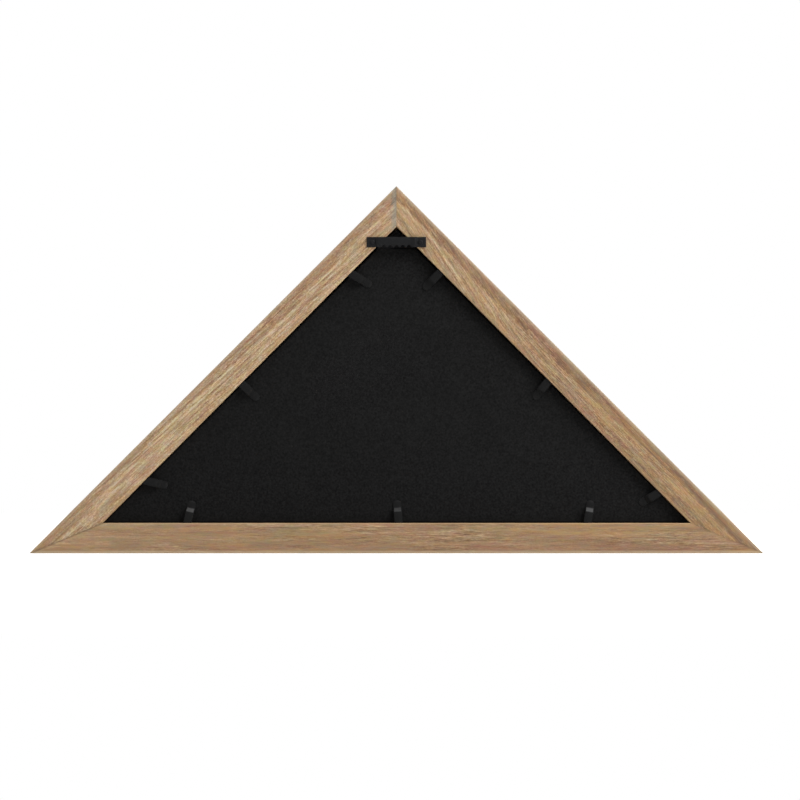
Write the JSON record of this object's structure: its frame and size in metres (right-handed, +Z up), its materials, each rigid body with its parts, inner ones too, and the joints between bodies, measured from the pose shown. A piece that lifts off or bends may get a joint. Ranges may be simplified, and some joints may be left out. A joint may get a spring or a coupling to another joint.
{
  "type": "folded flag display case",
  "caption": "Triangular wood shadow-box case for a folded flag, glass front, back board held by bending flex tabs, stands on its base or hangs by a sawtooth hanger.",
  "frame": {"origin": "middle of the underside of the bottom rail", "axes": "+Z up, +X to the right seen from the glass front, the glass faces -Y and the backing board +Y"},
  "size_m": [0.46, 0.0723, 0.23],
  "materials": {
    "driftwood": "planed wood with a matt tan driftwood stain, grain along each rail",
    "glass": "clear picture glass",
    "black_liner": "matt black painted strip",
    "black_board": "hardboard with a fine-grained black face",
    "black_felt": "short black felt",
    "black_steel": "black oxide, semi-matt",
    "bright_steel": "drawn wire"
  },
  "bodies": {
    "case": {"rail_bottom": "driftwood", "rail_right": "driftwood", "rail_left": "driftwood", "glass_pane": "glass", "spacer_bottom": "black_liner", "spacer_right": "black_liner", "spacer_left": "black_liner", "sawtooth_hanger": "black_steel", "hanger_nails": "black_steel", "peak_brads": "bright_steel", "right_corner_brads": "bright_steel", "left_corner_brads": "bright_steel", "tab_shanks": "black_steel"},
    "backing": {"back_board": "black_board", "board_felt": "black_felt"},
    "flex_tab_bottom_left": {"tab_bottom_left": "black_steel"},
    "flex_tab_bottom_middle": {"tab_bottom_middle": "black_steel"},
    "flex_tab_bottom_right": {"tab_bottom_right": "black_steel"},
    "flex_tab_right_lower": {"tab_right_lower": "black_steel"},
    "flex_tab_right_middle": {"tab_right_middle": "black_steel"},
    "flex_tab_right_upper": {"tab_right_upper": "black_steel"},
    "flex_tab_left_upper": {"tab_left_upper": "black_steel"},
    "flex_tab_left_middle": {"tab_left_middle": "black_steel"},
    "flex_tab_left_lower": {"tab_left_lower": "black_steel"}
  },
  "joints": [
    {"name": "board_slide", "type": "slide", "parent": "case", "child": "backing", "axis": [0, 1, 0], "range_m": [0, 0.0082]},
    {"name": "tab_bottom_left_bend", "type": "hinge", "parent": "case", "child": "flex_tab_bottom_left", "pos_m": [-0.11976, 0.0335, 0.01945], "axis": [-1, 0, 0], "range_deg": [0, 95]},
    {"name": "tab_bottom_middle_bend", "type": "hinge", "parent": "case", "child": "flex_tab_bottom_middle", "pos_m": [-0.00143, 0.0335, 0.01945], "axis": [-1, 0, 0], "range_deg": [0, 95]},
    {"name": "tab_bottom_right_bend", "type": "hinge", "parent": "case", "child": "flex_tab_bottom_right", "pos_m": [0.131, 0.0335, 0.01945], "axis": [-1, 0, 0], "range_deg": [0, 95]},
    {"name": "tab_right_lower_bend", "type": "hinge", "parent": "case", "child": "flex_tab_right_lower", "pos_m": [0.15692, 0.0335, 0.04557], "axis": [0.7071, 0, -0.7071], "range_deg": [0, 95]},
    {"name": "tab_right_middle_bend", "type": "hinge", "parent": "case", "child": "flex_tab_right_middle", "pos_m": [0.09653, 0.0335, 0.10596], "axis": [0.7071, 0, -0.7071], "range_deg": [0, 95]},
    {"name": "tab_right_upper_bend", "type": "hinge", "parent": "case", "child": "flex_tab_right_upper", "pos_m": [0.02759, 0.0335, 0.1749], "axis": [0.7071, 0, -0.7071], "range_deg": [0, 95]},
    {"name": "tab_left_upper_bend", "type": "hinge", "parent": "case", "child": "flex_tab_left_upper", "pos_m": [-0.02693, 0.0335, 0.17556], "axis": [0.7071, 0, 0.7071], "range_deg": [0, 95]},
    {"name": "tab_left_middle_bend", "type": "hinge", "parent": "case", "child": "flex_tab_left_middle", "pos_m": [-0.09491, 0.0335, 0.10758], "axis": [0.7071, 0, 0.7071], "range_deg": [0, 95]},
    {"name": "tab_left_lower_bend", "type": "hinge", "parent": "case", "child": "flex_tab_left_lower", "pos_m": [-0.1644, 0.0335, 0.03809], "axis": [0.7071, 0, 0.7071], "range_deg": [0, 95]}
  ],
  "couplings": [
    {"joint": "tab_bottom_left_bend", "follows": "board_slide", "rad_per_m": 202.2},
    {"joint": "tab_bottom_middle_bend", "follows": "board_slide", "rad_per_m": 202.2},
    {"joint": "tab_bottom_right_bend", "follows": "board_slide", "rad_per_m": 202.2},
    {"joint": "tab_right_lower_bend", "follows": "board_slide", "rad_per_m": 202.2},
    {"joint": "tab_right_middle_bend", "follows": "board_slide", "rad_per_m": 202.2},
    {"joint": "tab_right_upper_bend", "follows": "board_slide", "rad_per_m": 202.2},
    {"joint": "tab_left_upper_bend", "follows": "board_slide", "rad_per_m": 202.2},
    {"joint": "tab_left_middle_bend", "follows": "board_slide", "rad_per_m": 202.2},
    {"joint": "tab_left_lower_bend", "follows": "board_slide", "rad_per_m": 202.2}
  ]
}
